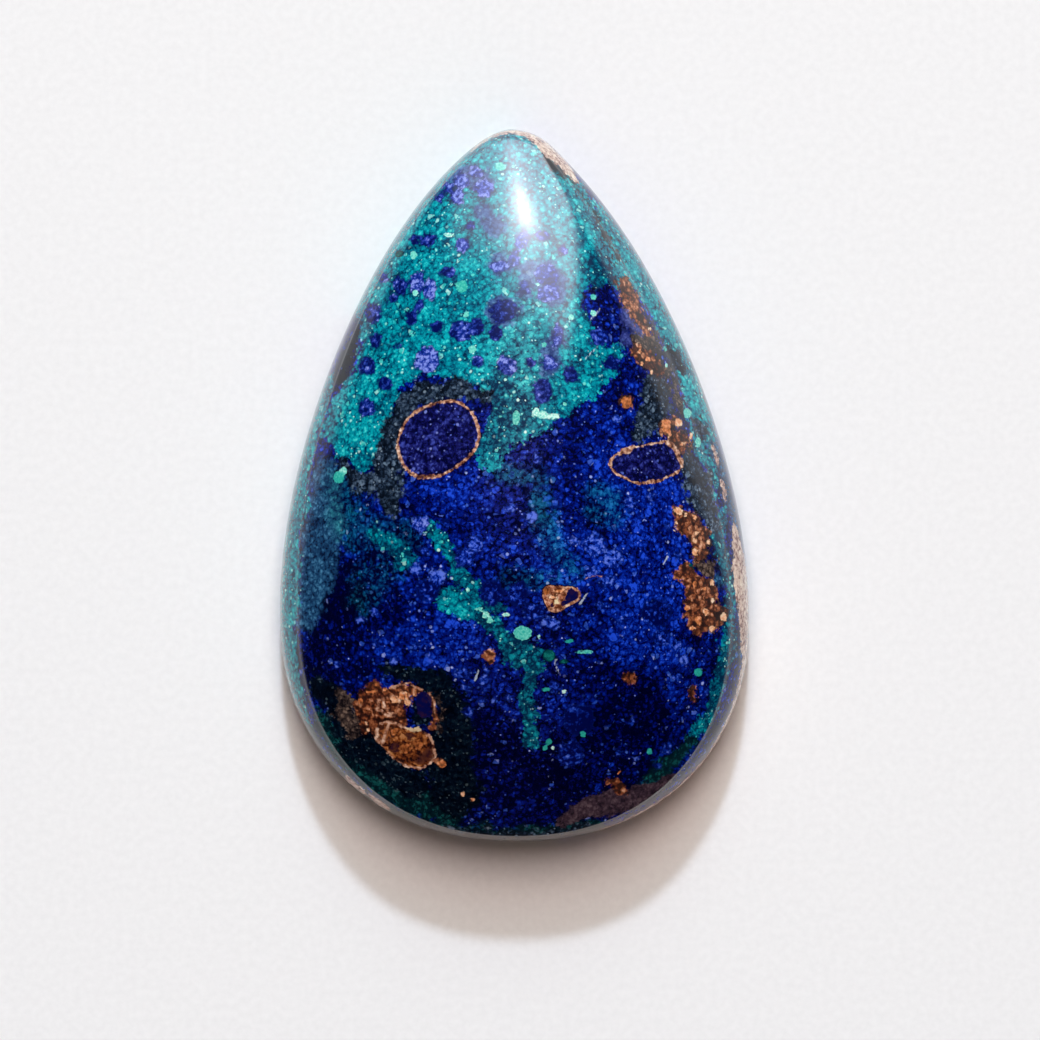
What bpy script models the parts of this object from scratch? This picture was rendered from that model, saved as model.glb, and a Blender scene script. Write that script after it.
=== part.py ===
"""Pear-shaped azurite cabochon: one cut and polished stone, lying on its flat back.

Metres, +Z up. The origin is the middle of the flat back; the tip points along +Y.
Run with: blender --background --python part.py
"""

from math import asin, atan2, copysign, cos, exp, pi, radians, sin, sqrt

import bmesh
import bpy

MM = 0.001

# Driving dimensions of the stone.
LENGTH = 35.5 * MM
WIDTH = 23.4 * MM
HEIGHT = 9.6 * MM

# Outline of the girdle, seen from above.
FOOT_LENGTH = 11.3 * MM  # widest line to the round foot
TIP_LENGTH = LENGTH - FOOT_LENGTH  # widest line to the tip
WIDEST_Y = FOOT_LENGTH - LENGTH / 2
FOOT_POWER = 2.2  # superellipse power of the foot; 2 would be a true ellipse
TIP_POWER = 1.43  # over 1 draws the tip to a point
FLANK_HOLLOW = 0.3  # how far the flanks fall inside a full curve
TIP_FULLNESS = 0.26  # blunts the very tip; a share of half the width
TIP_FULLNESS_REACH = 0.055
TIP_FULLNESS_SKEW = 0.54  # fuller on the right by this share, and thinner on the left
LEAN = 0.3 * MM  # the tip lies this far left of the foot

# Profile from the flat back up to the top of the dome.
BACK_BEVEL = 0.45 * MM
WALL_HEIGHT = 4.55 * MM  # top of the steep side wall, over the back
WALL_INSET = 0.95 * MM  # how far the wall leans in over that height
WALL_BARREL = 4.1  # over 1 starts the wall upright and leans it in towards its top
WALL_SKEW = 0.7 * MM  # the wall leans in more on the tip's right flank than on its left
TIP_INSET_SHARE = 0.6  # the wall is steeper at the tip
FOOT_INSET_SHARE = 0.35  # and at the foot
SHOULDER_RISE = 0.05 * MM  # rounded edge between the wall and the dome
SHOULDER_POWER = 60
DOME_RISE = HEIGHT - WALL_HEIGHT - SHOULDER_RISE
DOME_POWER = 1.0
APEX_Y = -2.7 * MM
ROUNDING = 4.5  # how soon the dome's level lines turn from a pear to an ellipse
RIDGE_DRIFT = 1.9 * MM  # the ridge up to the tip runs right of the middle by up to two fifths of this

# Mesh density, and the shares of a meridian that the back, bevel and wall take.
SEGMENTS = 96
RINGS = 26
BACK_RINGS = 2
BEVEL_RINGS = 1
WALL_RINGS = 5
BACK_END = BACK_RINGS / RINGS
BEVEL_END = (BACK_RINGS + BEVEL_RINGS) / RINGS
WALL_END = (BACK_RINGS + BEVEL_RINGS + WALL_RINGS) / RINGS

SHARP_ANGLE = radians(35)


def clear_scene():
    for obj in list(bpy.data.objects):
        bpy.data.objects.remove(obj, do_unlink=True)


def pear_half_width(rise):
    """Half the girdle's width as a share of its widest, at rise from -1 (foot) to 1 (tip)."""
    if rise < 0:
        return (1 - abs(rise) ** FOOT_POWER) ** (1 / FOOT_POWER)
    hollow = 1 - FLANK_HOLLOW * rise**2 * (1 - rise)
    return sqrt(1 - rise**2) ** TIP_POWER * hollow


def tip_fullness(rise):
    """What the blunt tip adds to half the girdle's width, as a share of its widest."""
    fall = 1 - rise**2
    return TIP_FULLNESS * sqrt(fall) * exp(-fall / TIP_FULLNESS_REACH)


def level_line(angle, inset, share):
    """Plan position on a level line of the stone.

    inset moves the girdle's outline inwards, and share then shrinks it towards the apex,
    turning it from a pear into an ellipse and drifting it right on the tip's side on the way.
    """
    rise = max(-1.0, min(1.0, sin(angle)))
    across = cos(angle)
    if rise > 0:
        inset += WALL_SKEW * rise * across * (inset / WALL_INSET)
        reach = TIP_LENGTH - TIP_INSET_SHARE * inset
    else:
        reach = FOOT_LENGTH - FOOT_INSET_SHARE * inset
    pear = copysign(pear_half_width(rise), across)
    if rise > 0:
        pear += (copysign(1, across) + TIP_FULLNESS_SKEW) * tip_fullness(rise)
    roundness = 1 - share**ROUNDING
    x = (WIDTH / 2 - inset) * (pear + (across - pear) * roundness)
    y = WIDEST_Y + reach * rise
    x -= LEAN * (y - WIDEST_Y) / LENGTH
    drift = RIDGE_DRIFT * (1 - share**2) * max(rise, 0) ** 2
    return share * (x + drift), APEX_Y + share * (y - APEX_Y)


def dome_height(share):
    shoulder = SHOULDER_RISE * sqrt(1 - share**SHOULDER_POWER)
    return WALL_HEIGHT + shoulder + DOME_RISE * (1 - share**2) ** DOME_POWER


def meridian(along):
    """Inset, share and height at along, from 0 in the middle of the back to 1 at the apex."""
    if along < BACK_END:
        return BACK_BEVEL, along / BACK_END, 0.0
    if along < BEVEL_END:
        step = (along - BACK_END) / (BEVEL_END - BACK_END)
        return BACK_BEVEL * (1 - step), 1.0, BACK_BEVEL * step
    if along < WALL_END:
        step = (along - BEVEL_END) / (WALL_END - BEVEL_END)
        height = BACK_BEVEL + (WALL_HEIGHT - BACK_BEVEL) * step
        return WALL_INSET * step**WALL_BARREL, 1.0, height
    share = cos((along - WALL_END) / (1 - WALL_END) * pi / 2)
    share = min(1.0, max(0.0, share))
    return WALL_INSET, share, dome_height(share)


def stone_mesh(name):
    """A unit sphere whose rings and segments are laid onto the stone's meridians and level lines."""
    mesh = bpy.data.meshes.new(name)
    bm = bmesh.new()
    bmesh.ops.create_uvsphere(bm, u_segments=SEGMENTS, v_segments=RINGS, radius=1.0)
    for vert in bm.verts:
        angle = atan2(vert.co.y, vert.co.x)
        latitude = asin(max(-1.0, min(1.0, vert.co.z)))
        along = round((latitude / pi + 0.5) * RINGS) / RINGS
        inset, share, height = meridian(along)
        x, y = level_line(angle, inset, share)
        vert.co = (x, y, height)
    bmesh.ops.recalc_face_normals(bm, faces=bm.faces)
    bm.to_mesh(mesh)
    bm.free()
    mesh.shade_smooth()
    mesh.set_sharp_from_angle(angle=SHARP_ANGLE)
    return mesh


def polished_azurite():
    material = bpy.data.materials.new("polished_azurite")
    material.use_nodes = True
    shader = material.node_tree.nodes["Principled BSDF"]
    shader.inputs["Base Color"].default_value = (0.004, 0.03, 0.19, 1.0)
    shader.inputs["Roughness"].default_value = 0.12
    shader.inputs["Metallic"].default_value = 0.0
    material.diffuse_color = (0.004, 0.03, 0.19, 1.0)
    return material


def main():
    clear_scene()
    collection = bpy.data.collections.new("azurite_cabochon")
    bpy.context.scene.collection.children.link(collection)
    stone = bpy.data.objects.new("azurite_stone", stone_mesh("azurite_stone"))
    stone.data.materials.append(polished_azurite())
    collection.objects.link(stone)


main()
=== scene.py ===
"""A polished pear-shaped azurite cabochon, lying on its flat back on a pale floor.

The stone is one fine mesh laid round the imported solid. Its minerals are marks laid out in plan,
stored on the mesh as depths, and its grain is grown by the material.
"""

from math import cos, pi, radians, sin, sqrt

import bmesh
import bpy
import numpy as np
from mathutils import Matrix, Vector, noise


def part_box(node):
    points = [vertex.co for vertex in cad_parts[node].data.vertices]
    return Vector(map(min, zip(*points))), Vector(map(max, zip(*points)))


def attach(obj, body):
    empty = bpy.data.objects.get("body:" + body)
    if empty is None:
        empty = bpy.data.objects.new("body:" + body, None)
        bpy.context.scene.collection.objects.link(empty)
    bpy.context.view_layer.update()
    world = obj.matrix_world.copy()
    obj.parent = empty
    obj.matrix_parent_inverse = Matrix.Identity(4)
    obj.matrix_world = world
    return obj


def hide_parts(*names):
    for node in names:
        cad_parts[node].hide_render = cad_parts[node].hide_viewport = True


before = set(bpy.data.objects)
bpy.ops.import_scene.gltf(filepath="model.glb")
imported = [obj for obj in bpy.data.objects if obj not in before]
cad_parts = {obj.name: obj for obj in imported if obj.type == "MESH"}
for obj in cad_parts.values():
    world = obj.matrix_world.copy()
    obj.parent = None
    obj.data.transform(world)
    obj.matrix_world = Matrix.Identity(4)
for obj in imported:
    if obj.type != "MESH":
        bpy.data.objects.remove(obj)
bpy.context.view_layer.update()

MM = 0.001
TENTH = 0.1  # marks are laid out in tenths of a millimetre

# The stone's size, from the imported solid, in millimetres.
STONE_LOW, STONE_HIGH = (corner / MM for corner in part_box("azurite_stone"))
WIDTH, LENGTH, HEIGHT = STONE_HIGH - STONE_LOW

# Outline of the girdle and profile, as the solid has them, in millimetres.
FOOT_LENGTH = 0.318 * LENGTH
TIP_LENGTH = LENGTH - FOOT_LENGTH
WIDEST_Y = FOOT_LENGTH - LENGTH / 2
FOOT_POWER = 2.2
TIP_POWER = 1.43
FLANK_HOLLOW = 0.3
TIP_FULLNESS = 0.26
TIP_FULLNESS_REACH = 0.055
TIP_FULLNESS_SKEW = 0.54
LEAN = 0.3
BACK_BEVEL = 0.45
WALL_HEIGHT = 4.55
WALL_INSET = 0.95
WALL_BARREL = 4.1
WALL_SKEW = 0.7
TIP_INSET_SHARE = 0.6
FOOT_INSET_SHARE = 0.35
SHOULDER_RISE = 0.05
SHOULDER_POWER = 60
DOME_RISE = HEIGHT - WALL_HEIGHT - SHOULDER_RISE
DOME_POWER = 1.0
APEX_Y = -2.7
ROUNDING = 4.5
RIDGE_DRIFT = 1.9

# Mesh of the stone: a grid over the middle of the dome, then rings down to the middle of the back.
CORE_CELLS = 168
CORE_LEVEL = 0.56
DOME_RINGS = 66
WALL_RINGS = 22
BEVEL_RINGS = 5
BACK_RINGS = 9
EASE_ROUNDS = 30
WALL_END, BEVEL_END, BACK_END = 2.0, 2.2, 3.0

# How marks are laid on the mesh. A wander is waves of noise, each (size, amount, seed) in millimetres.
WALL_UNROLL = 0.35  # marks on the wall move outwards in plan by this share of the drop
BROAD_WANDER = [(1.3, 0.3, 3.1), (0.45, 0.14, 7.7)]
CLOSE_WANDER = [(0.5, 0.09, 5.3)]
NEAR_WANDER = [(0.7, 0.06, 9.9), (0.25, 0.03, 2.2)]
NOISE_SEED = 1  # the wander would differ from run to run without it

# Where the minerals lie, in tenths of a millimetre from the middle of the back.

# Brush strokes: rows of round dabs (x, y, radius).
TEAL_VEINS = [
    [(45, 140, 4), (60, 118, 7), (73, 93, 8.5), (85, 68, 9), (93, 48, 8), (99, 28, 6)],
    [(104, -14, 3), (101, -24, 4.5), (102, -31, 4), (105, -39, 3), (108, -54, 3.5), (108, -62, 4),
     (106, -70, 4.5), (107, -80, 5), (103, -92, 3), (100, -105, 3.5), (96, -116, 3.5), (90, -124, 3),
     (83, -132, 3), (73, -141, 2.5)],
    [(84, 40, 2), (86, 36, 2.5)],
    [(30, 146, 5), (38, 132, 7), (47, 116, 8), (54, 102, 6)],
    [(89, 30, 2), (92, 22, 3.5), (96, 13, 3), (98, 5, 3), (100, -4, 2)],
    [(-45, -18, 3), (-40, -23, 4.5), (-34, -30, 4), (-29, -38, 4), (-26, -45, 4.5), (-20, -50, 4.5),
     (-22, -59, 4.5), (-15, -64, 4.5), (-8, -70, 4), (-3, -76, 4.5), (2, -82, 7), (8, -85, 7.5),
     (9, -91, 5), (7, -101, 3), (6, -106, 3.5), (7, -114, 4), (8, -121, 3.5), (9, -128, 3.5)],
    [(-34, -57, 5), (-22, -60, 6)],
    [(-68, -24, 4), (-60, -30, 6), (-55, -36, 5)],
    [(-95, 50, 6), (-107, 28, 9), (-113, 3, 10.5), (-117, -27, 11), (-119, -57, 11), (-119, -82, 10),
     (-115, -102, 9), (-109, -118, 6)],
    [(-13, -58, 2.5), (-7, -60, 1.5)],
]
TEAL_HAZES = [
    [(-69, -25, 10), (-57, -27, 10), (-64, -37, 11), (-71, -49, 9), (-75, -57, 6)],
    [(12, -8, 6), (16, -24, 7), (24, -36, 6), (30, -44, 4)],
    [(42, -3, 5), (48, -8, 6), (40, -14, 4), (50, -16, 4)],
    [(-10, 8, 5), (12, 4, 4)],
    [(-2, -46, 4), (12, -47, 4), (20, -46, 3)],
    [(-85, 0, 9), (-84, -14, 9), (-78, -26, 8)],
]
DEEP_GREENS = [
    [(-114, -118, 6), (-100, -142, 8), (-82, -160, 9), (-56, -173, 10), (-25, -180, 11), (5, -181, 12),
     (40, -176, 9)],
    [(-96, -118, 5), (-85, -130, 8), (-75, -138, 9), (-61, -150, 8), (-47, -157, 8), (-30, -163, 6)],
    [(88, -128, 4), (79, -137, 4.5), (68, -145, 4), (63, -150, 3)],
]
CHARCOALS = [
    [(-52, -171, 3.5), (-25, -176, 5.5), (5, -177.5, 6), (35, -174, 4.5)],
    [(-14, 44, 4), (-30, 49, 5.5), (-43, 46, 5.5), (-53, 39, 5), (-59, 29, 6), (-62, 15, 7),
     (-63, 3, 7.5), (-61, -10, 5.5)],
    [(-85, 8, 4), (-76, 2, 5), (-68, 3, 6)],
    [(70, 48, 7), (70, 40, 8.5), (67, 31, 7.5), (63, 25, 4)],
    [(92, 33, 3), (95, 27, 3)],
    [(86, 14, 3), (90, 4, 7), (94, -10, 6), (99, -20, 4)],
    [(80, 65, 5), (82, 60, 5)],
]
# Dark slate-blue grains along both flanks, painted paler and greyer as a painted reflection on the steep
# dome.
SLATES_AND_FLANK_SHEEN = [
    [(-94, 8, 5), (-93, -7, 9), (-95, -27, 10), (-99, -47, 9), (-103, -67, 5)],
    [(96, 36, 4), (100, 26, 5), (104, 12, 5), (110, -4, 4), (114, -20, 3.5), (117, -60, 3),
     (116, -85, 3)],
    [(100, -46, 3), (103, -48, 3)],
]
RUSTS = [
    [(-74, -110, 5), (-71, -118, 6), (-65, -122, 4.5), (-61, -115, 5)],
    [(-42, -104, 1), (-39.5, -109, 1.5), (-39, -115, 1.5), (-41, -120, 1.5)],
    [(54, 100, 3.5), (57, 93, 4), (61, 84, 3.5), (66, 77, 2.5)],
    [(60, 67, 3), (64, 63, 4.5), (69, 59, 4), (72, 56, 2.5)],
    [(55, 41, 3.5)],
    [(75, 29, 3), (79, 32, 2.5)],
    [(79, 24, 4), (84, 22, 4), (82, 18, 2.5)],
    [(-13, -85, 3.5)],
    [(57, -95, 3.5)],
    [(88, -102, 2), (89, -106, 1.5)],
    [(47, -147, 2.5), (51, -147, 2.5), (54, -151, 3)],
    [(-40, -135, 1), (-36, -138, 1.5)],
]
TANS = [
    [(69, 75, 1.5), (73, 60, 1.5), (77, 53, 1.5), (81, 47, 2), (82, 40, 2), (82, 34, 1.5)],
    [(62, 72, 5), (66, 68, 4)],
    [(86, 22, 2), (88, 18, 2)],
    [(91, -38, 3), (97, -40, 3.5), (100, -37, 2)],
    [(-86, -104, 4), (-84, -113, 5), (-80, -121, 4)],
    [(-38, -104, 1.5), (-36, -112, 2), (-37, -120, 2)],
]
# Very dark patches. The first stroke, along the shoulder near the tip, is a painted shade line along the
# crease.
NIGHTS_AND_SHOULDER_SHADE = [
    [(14, 164, 0.8), (19, 160.5, 2), (24, 157, 2.2), (28.5, 153, 2), (33, 146, 1), (38, 138, 0.8),
     (46, 125, 0.8), (53, 108, 0.6)],
    [(-78, 77, 2), (-81, 69, 3.5), (-84, 61, 4), (-88, 54, 3)],
    [(-98, -100, 5), (-88, -106, 7), (-84, -116, 9), (-77, -128, 9), (-62, -140, 7), (-50, -148, 8)],
    [(-62, -92, 3.5), (-48, -94, 5), (-38, -98, 6), (-32, -108, 8), (-30, -122, 10), (-33, -138, 12),
     (-30, -152, 13)],
    [(-45, -110, 5), (-45, -116, 5)],
]
HOST_ROCKS = [
    [(-24, 170, 1.5), (-14, 178, 2.5), (0, 180, 3), (9, 178, 5), (18, 171, 6.5), (25, 164, 6.5),
     (29, 158, 4), (32, 153, 2)],
    [(112, -20, 2), (114, -28, 4), (116.5, -42, 7.5), (120, -56, 8.5), (122.5, -72, 8.5), (124, -90, 7),
     (118, -116, 6.5), (106, -141, 6.5), (88, -159, 6), (66, -172, 6), (46, -180, 5)],
    [(101, 20, 1), (103, 14, 1.5), (104, 10, 1)],
    [(105, 2, 1), (107, -6, 1.5)],
    [(-85, -149, 2.5), (-79, -154, 3)],
    [(-72, -157, 2.5), (-66, -162, 3)],
]
ROYALS = [
    [(60, -5, 20), (72, -30, 18), (70, -60, 16), (55, -75, 12)],
    [(78, -85, 10), (80, -98, 8)],
    [(-34, 2, 10), (-18, -2, 8)],
    [(45, 24, 10), (52, 10, 12)],
    [(20, -35, 16), (45, -45, 14)],
    [(-30, -75, 14), (-60, -80, 12)],
]
DEEPS = [
    [(20, -150, 26), (45, -135, 22), (60, -110, 16)],
    [(-8, -135, 20), (-15, -118, 12)],
    [(-95, -75, 10), (-98, -90, 10)],
    [(-88, -55, 14), (-80, -75, 8)],
]
DARK_TEALS = [
    [(42, 112, 7), (44, 100, 8), (38, 88, 6)],
    [(-4, 40, 12), (-8, 26, 10)],
    [(-40, -23, 8), (-26, -43, 9), (-10, -64, 8), (8, -83, 12), (7, -107, 8), (9, -130, 8)],
    [(-69, -25, 12), (-64, -37, 14), (-71, -49, 12)],
    [(101, -17, 6), (107, -67, 8), (96, -116, 8), (73, -141, 8)],
]
MAUVES = [
    [(24, -167, 3), (35, -160, 5), (47, -157.5, 6.5), (60, -155, 6), (70, -151, 4.5), (80, -145, 2)],
]
SMOKES = [
    [(-7, 108, 6), (-4, 107, 4)],
    [(15, 104, 7), (19, 95, 6)],
    [(21, 74, 4), (19, 68, 4), (17, 60, 5)],
    [(58, 85, 5), (60, 76, 5.5), (57, 70, 4)],
    [(-26, 152, 6), (-15, 150, 6)],
    [(-14, 135, 4), (-9, 128, 5)],
    [(-6, 87, 8)],
    [(7, 106, 5), (6, 97, 4)],
]

# Closed outlines: corners (x, y).
TEAL_FIELD = [
    (-15, 190), (0, 192), (23, 168), (39, 148), (46, 125), (49, 112), (50, 102), (43, 98), (36, 101),
    (33, 95), (38, 85), (40, 78), (46, 71), (54, 68), (52, 56), (42, 47), (32, 42), (26, 34), (17, 28),
    (5, 23), (-3, 17), (-9, 8), (-17, 8), (-19, 14), (-15, 23), (-11, 33), (-13, 42), (-19, 48),
    (-26, 53), (-37, 56), (-49, 53), (-56, 47), (-60, 39), (-61, 25), (-67, 11), (-79, 8), (-90, 15),
    (-94, 28), (-91, 41), (-84, 49), (-79, 58), (-75, 70), (-78, 82), (-95, 93), (-84, 124), (-64, 152),
    (-40, 178),
]
RUST_BEDS = [
    [(-77.5, -107.5), (-76.5, -103), (-72.5, -97.5), (-69.5, -96.5), (-66, -99), (-63, -101.5),
     (-60, -99.5), (-56.5, -98), (-51.5, -98), (-48, -100.5), (-45, -102), (-49.5, -104),
     (-51.5, -107.5), (-54, -110), (-54.5, -115), (-52.5, -118), (-54.5, -120), (-63, -117.5),
     (-67, -118), (-68, -122), (-72, -124.5), (-75, -122), (-75.5, -116), (-77.5, -112)],
    [(78, -11), (81, -10), (85, -12), (89, -14), (92, -17), (94, -21), (97, -23), (97, -30), (96, -35),
     (91, -38), (88, -34), (87, -27), (86, -24), (82, -24), (79, -20), (79, -15)],
    [(77, -43), (81, -40), (85, -38), (89, -41), (91, -44), (96, -46), (99, -47), (100, -55),
     (102, -60), (106, -61), (106, -66), (102, -70), (98, -74), (89, -74), (85, -70), (84, -63),
     (84, -55), (85, -49), (81, -47)],
]
LEFT_RING = [
    (-57.5, 20), (-57, 25), (-55, 29), (-51, 34), (-47, 37), (-42, 39), (-38, 40), (-35, 41), (-30, 42),
    (-26, 40), (-22, 37), (-19, 32), (-17, 25), (-18, 21), (-21, 15), (-26, 11), (-30, 8), (-35, 5),
    (-41, 4), (-47, 4), (-51, 6), (-55, 11), (-57, 15),
]
RIGHT_RING = [
    (47, 12), (50.5, 15), (57, 18), (65, 20), (72, 21), (76.5, 22), (80, 18.5), (83, 12), (82, 7),
    (77, 5), (71, 2), (63, 0.5), (57, 2), (51.5, 5), (48, 8),
]
SHELL = [
    (15.5, -49), (13.5, -54), (15, -58.5), (17, -62), (19.5, -62.5), (23.5, -61), (28, -58.5),
    (32, -56.5), (32.5, -53.5), (31, -51), (28, -50), (23.5, -50), (19.5, -49.5),
]
NODULE = [
    (-68.5, -125), (-67.5, -120.5), (-66, -117.5), (-62, -117), (-58.5, -118), (-54, -120), (-50, -121),
    (-45.5, -122), (-41.5, -124.5), (-39.5, -129), (-39, -133), (-40.5, -137), (-45, -140),
    (-50.5, -140), (-55.5, -138), (-59.5, -136), (-62, -132.5), (-65, -129.5),
]

# Oval dabs: (x, y, half width, half height, paleness). Azurite balls come first.
# The balls near the tip are given a high paleness, partly as a painted sheen of the polish.
BALLS = [
    (-19, 155, 3.5, 3, 0.95), (-26, 151, 4, 4, 1), (-33, 148, 3, 3, 0.8), (-15, 147, 5, 4.5, 1),
    (-37, 143, 3, 2.5, 0.7), (-28, 143, 4, 4, 0.9), (-22, 128, 2.5, 2.5, 0.5), (13.5, 122.5, 4, 3, 0.5),
    (-43, 122, 4.5, 3.5, 0.5), (-50, 121, 2.5, 3, 0.2), (4, 121, 4, 5, 0.6), (-26, 119, 3, 4, 0.75),
    (24, 116, 2.5, 2.5, 0.6), (0, 112, 3.5, 4.5, 0.5), (-7, 108, 4.5, 3, 0.8), (-33, 105, 4.5, 3, 0.3),
    (16, 104, 6, 5.5, 0.6), (-65, 103, 2.5, 2.5, 0.7), (-48, 100, 4, 6, 0.85), (-57, 98, 3.5, 5, 0.6),
    (6, 98, 3, 4, 0.5), (-42, 97, 3.5, 5.5, 0.85), (17, 95, 6.5, 4.5, 0.75), (-60, 92, 2.5, 2.5, 0.5),
    (-47, 89, 2.5, 3, 0.5), (-5, 86, 7, 6, 0.25), (-70, 85, 4.5, 5.5, 0.5), (61, 83, 2, 2, 0.5),
    (-51, 82, 3, 4, 0.15), (48, 82, 2.5, 2.5, 0.5), (-39, 78, 4, 3, 0.25), (-19, 78, 4, 4.5, 0.4),
    (57, 77, 2, 2, 0.4), (-26, 76, 6, 5, 0.45), (-9, 75, 3.5, 4, 0.15), (21, 74, 2.5, 6, 0.8),
    (42, 73, 5, 4, 0.5), (-69, 71, 3, 3.5, 0.5), (-58, 69, 2, 1.5, 0.3), (-43, 62, 6.5, 6.5, 0.9),
    (-18, 61, 3, 3, 0.5), (8, 60, 2.5, 2.5, 0.5), (17, 60, 4, 4.5, 0.7), (48, 60, 5, 3.5, 0.1),
    (-73, 59, 4.5, 4.5, 0.3), (-5, 59, 4, 4, 0.9), (-3, 58, 4.5, 4.5, 0.85), (28, 54, 4, 4, 0.3),
    (-64, 50, 4, 4, 0.2), (14, 46, 5.5, 6.5, 0.5), (-73, 38, 4.5, 4.5, 0.5), (51, 33, 2.5, 2, 0.9),
    (11, 13, 2.5, 2.5, 0.5), (67.5, -6, 2, 2.5, 0.75), (57, -8, 3, 3, 0.6), (-2, -11, 2.5, 2.5, 0.5),
    (9, -15, 3, 3, 0.8), (-46, -19, 4.5, 4.5, 0.7), (-34, -19, 2, 2, 0.3), (76, -20, 1.5, 2, 0.6),
    (40, -24, 2, 2, 0.8), (30, -27, 2.5, 2.5, 0.9), (-19, -29, 4, 4, 0.5), (-45, -33, 2.5, 2.5, 0.4),
    (39.5, -30, 5, 6, 0.7), (48.5, -36, 5, 5, 0.7), (80.5, -34, 2, 3, 0.7), (-25, -36, 5, 5, 0.5),
    (-49, -41, 3, 3, 0.5), (38, -42.5, 3, 3, 0.6), (18.5, -44.5, 2, 1, 0.6), (-38, -45, 4, 4, 0.9),
    (44.5, -47, 4, 3, 0.6), (-43, -52, 5.5, 5.5, 0.1), (-11.5, -53, 6, 7, 0.15), (2, -53, 5, 6, 0.25),
    (42, -59, 2, 1.5, 0.7), (9, -62, 5.5, 4, 0.3), (-69, -63, 2, 2, 0.8), (70, -63, 7.5, 7.5, 0.2),
    (-76, -67, 2, 2, 0.5), (53, -67, 2.5, 1.5, 0.5), (18.5, -68.5, 5, 3.5, 0.85), (73, -75, 4, 4, 0.3),
    (-68, -78, 2, 2, 0.5), (80, -79, 2.5, 2.5, 0.5), (-49, -80, 2, 2, 0.6), (84, -86, 2.5, 2.5, 0.8),
    (-60, -87, 2, 2, 0.7), (-88, -88, 1.5, 1.5, 0.6), (-14, -92, 1.5, 2, 0.7),
    (-25.5, -92.5, 4, 2.5, 0.35), (80, -94, 2.5, 2.5, 0.5), (-15, -98.5, 2.5, 4.5, 0.5),
    (20, -99.5, 3, 3, 0.3), (-23.5, -100, 2.5, 1.5, 0.7), (-4, -105.5, 1, 2, 0.5),
    (-16, -106, 2, 1.5, 0.4), (-10, -106, 1.5, 1.5, 0.8), (-23, -112, 3, 2.5, 0.3),
    (32, -116, 8, 8, 0.1), (58, -117, 2, 2, 0.4), (77, -127, 2, 2, 0.4), (75, -131, 2, 2, 0.7),
    (51, -132, 2, 2, 0.4), (28, -133, 6.5, 6.5, 0.3), (60, -136, 1.5, 1.5, 0.8), (71, -139, 2, 2, 0.4),
]
# Mint and milky crystals.
CRYSTALS = [
    (4, -73, 4.5, 3.5, 0.62), (12, -74.5, 1, 1, 0.9), (35, -82.5, 4.5, 1, 0.6), (27, -77, 2.5, 1, 0.3),
    (15.5, -101, 2, 1, 0.3), (-4, -64, 2, 1, 0.95), (-26, 98, 3, 3, 0.5), (-31, 99, 1, 1, 0.8),
    (-49, 95, 1.5, 1.5, 0.8), (-50, 114, 2, 2, 0.7), (-54, 114, 1, 1, 0.8), (-24, 84, 1.5, 1.5, 0.7),
    (-21, 67, 2, 2, 0.7), (-32, 124, 3, 1, 0.9), (-28, 111, 1, 1, 0.9), (11, 36, 2, 2, 0.9),
    (14, 34.5, 3, 2, 0.85), (19, 34, 3, 1.5, 0.95), (1, 33, 2, 3.5, 0.6), (25, 39.5, 1, 1, 0.7),
    (15, 69, 1.5, 1.5, 0.6), (11, 99, 1, 1, 0.8), (28, 83, 1.5, 1.5, 0.8), (39, 85, 1.5, 1.5, 0.8),
    (39, 93, 1.5, 1.5, 0.6), (24.5, -102, 1, 1, 1), (17, -127, 1.5, 1.5, 0.2),
    (15, -130, 1.5, 1.5, 0.4), (19, -130, 1, 1, 1), (34, -123, 1.5, 1.5, 0.4), (-87, 4, 2.5, 3, 0.45),
    (-85, 7, 2, 2, 0.8), (91.5, 22, 1.5, 2.5, 0.7), (86, 36, 2, 2.5, 0.7), (84, 60, 1, 1, 1),
    (75.5, 59.5, 1, 1, 0.9), (75, 68, 1, 1.5, 0.6), (67, -132, 1.5, 1.5, 0.4), (91, -93, 2, 2, 0.3),
    (-23, -52, 1, 1.5, 0.8), (-17, -61, 2.5, 1, 0.7), (-14, -64, 2, 1.5, 0.8), (-12, -67, 2, 1.5, 0.7),
    (-7, 158, 2.5, 2, 0.6),
]
# Smooth green beads.
JADES = [
    (17, -84, 3, 3, 0.4), (24.5, -87, 2, 1, 0.7), (-57, 115, 2, 1.5, 0.2), (86, -41, 3, 3, 0.3),
]
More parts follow.
